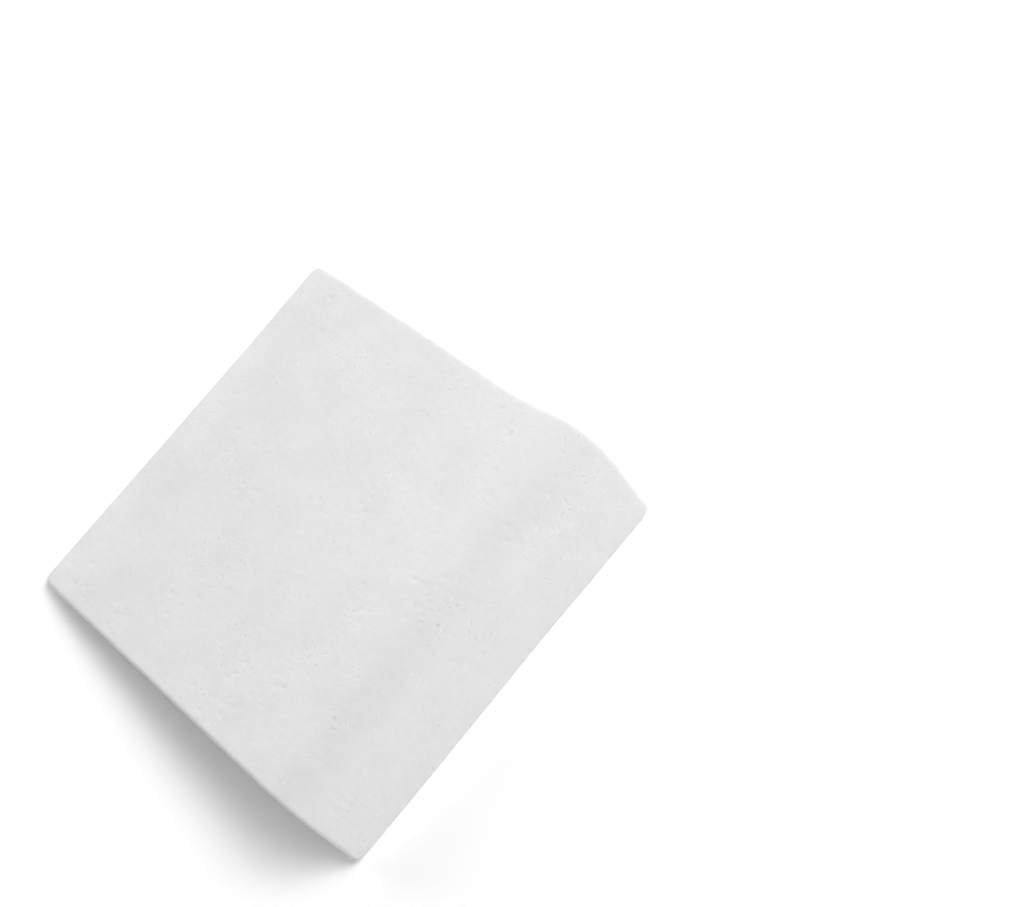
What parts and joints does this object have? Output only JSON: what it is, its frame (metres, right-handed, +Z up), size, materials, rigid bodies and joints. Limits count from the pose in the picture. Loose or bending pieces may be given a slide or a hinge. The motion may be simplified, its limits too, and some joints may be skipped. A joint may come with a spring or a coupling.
{
  "type": "foam packaging liner",
  "caption": "Sheet of white closed-cell foam for lining a carton, with a flat panel and one end bent down as a flap.",
  "frame": {"origin": "on the surface it lies on, under the middle of its bounding box", "axes": "+X from the foot end to the flap, +Y across the sheet, +Z up"},
  "size_m": [0.3126, 0.29, 0.0613],
  "materials": {
    "foam": "matte closed-cell foam skin"
  },
  "bodies": {
    "root": {"foam_liner": "foam"}
  },
  "joints": []
}
